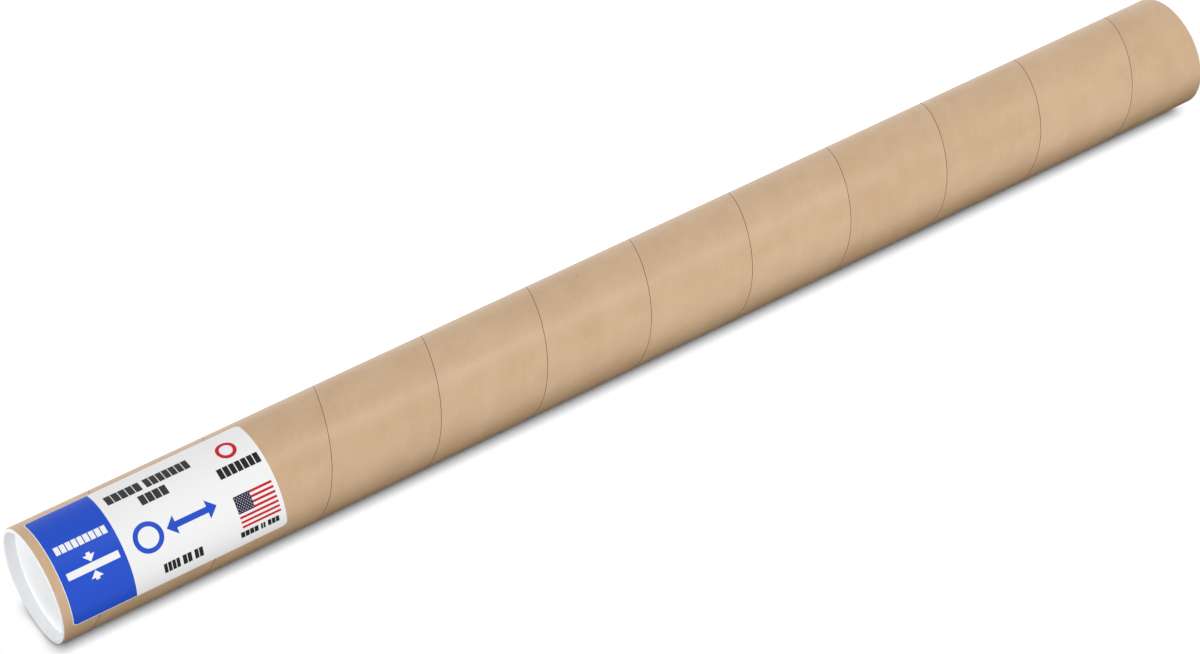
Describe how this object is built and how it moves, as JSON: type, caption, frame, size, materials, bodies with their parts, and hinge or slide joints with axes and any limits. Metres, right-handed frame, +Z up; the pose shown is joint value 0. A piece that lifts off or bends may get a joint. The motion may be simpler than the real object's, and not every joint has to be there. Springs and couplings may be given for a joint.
{
  "type": "cardboard mailing tube",
  "caption": "Long spiral-wound kraft cardboard mailing tube with a recessed white plug cap in each end and a printed paper label.",
  "frame": {"origin": "under the middle of the tube, on the surface that it lies on", "axes": "+X along the tube, from the labelled end to the plain end; +Z up; the label faces -Y and up"},
  "size_m": [1.527, 0.1335, 0.1332],
  "materials": {
    "kraft_board": "matt brown kraft paper with fine fibres along the wound strip",
    "cap_plastic": "satin moulded white plastic",
    "label_paper": "smooth coated white paper with a blue end panel"
  },
  "bodies": {
    "tube": {"tube": "kraft_board", "label": "label_paper"},
    "front_cap": {"front_cap": "cap_plastic"},
    "rear_cap": {"rear_cap": "cap_plastic"}
  },
  "joints": [
    {"name": "front_cap_pull", "type": "slide", "parent": "tube", "child": "front_cap", "axis": [-1, 0, 0], "range_m": [0, 0.04]},
    {"name": "rear_cap_pull", "type": "slide", "parent": "tube", "child": "rear_cap", "axis": [1, 0, 0], "range_m": [0, 0.04]}
  ]
}
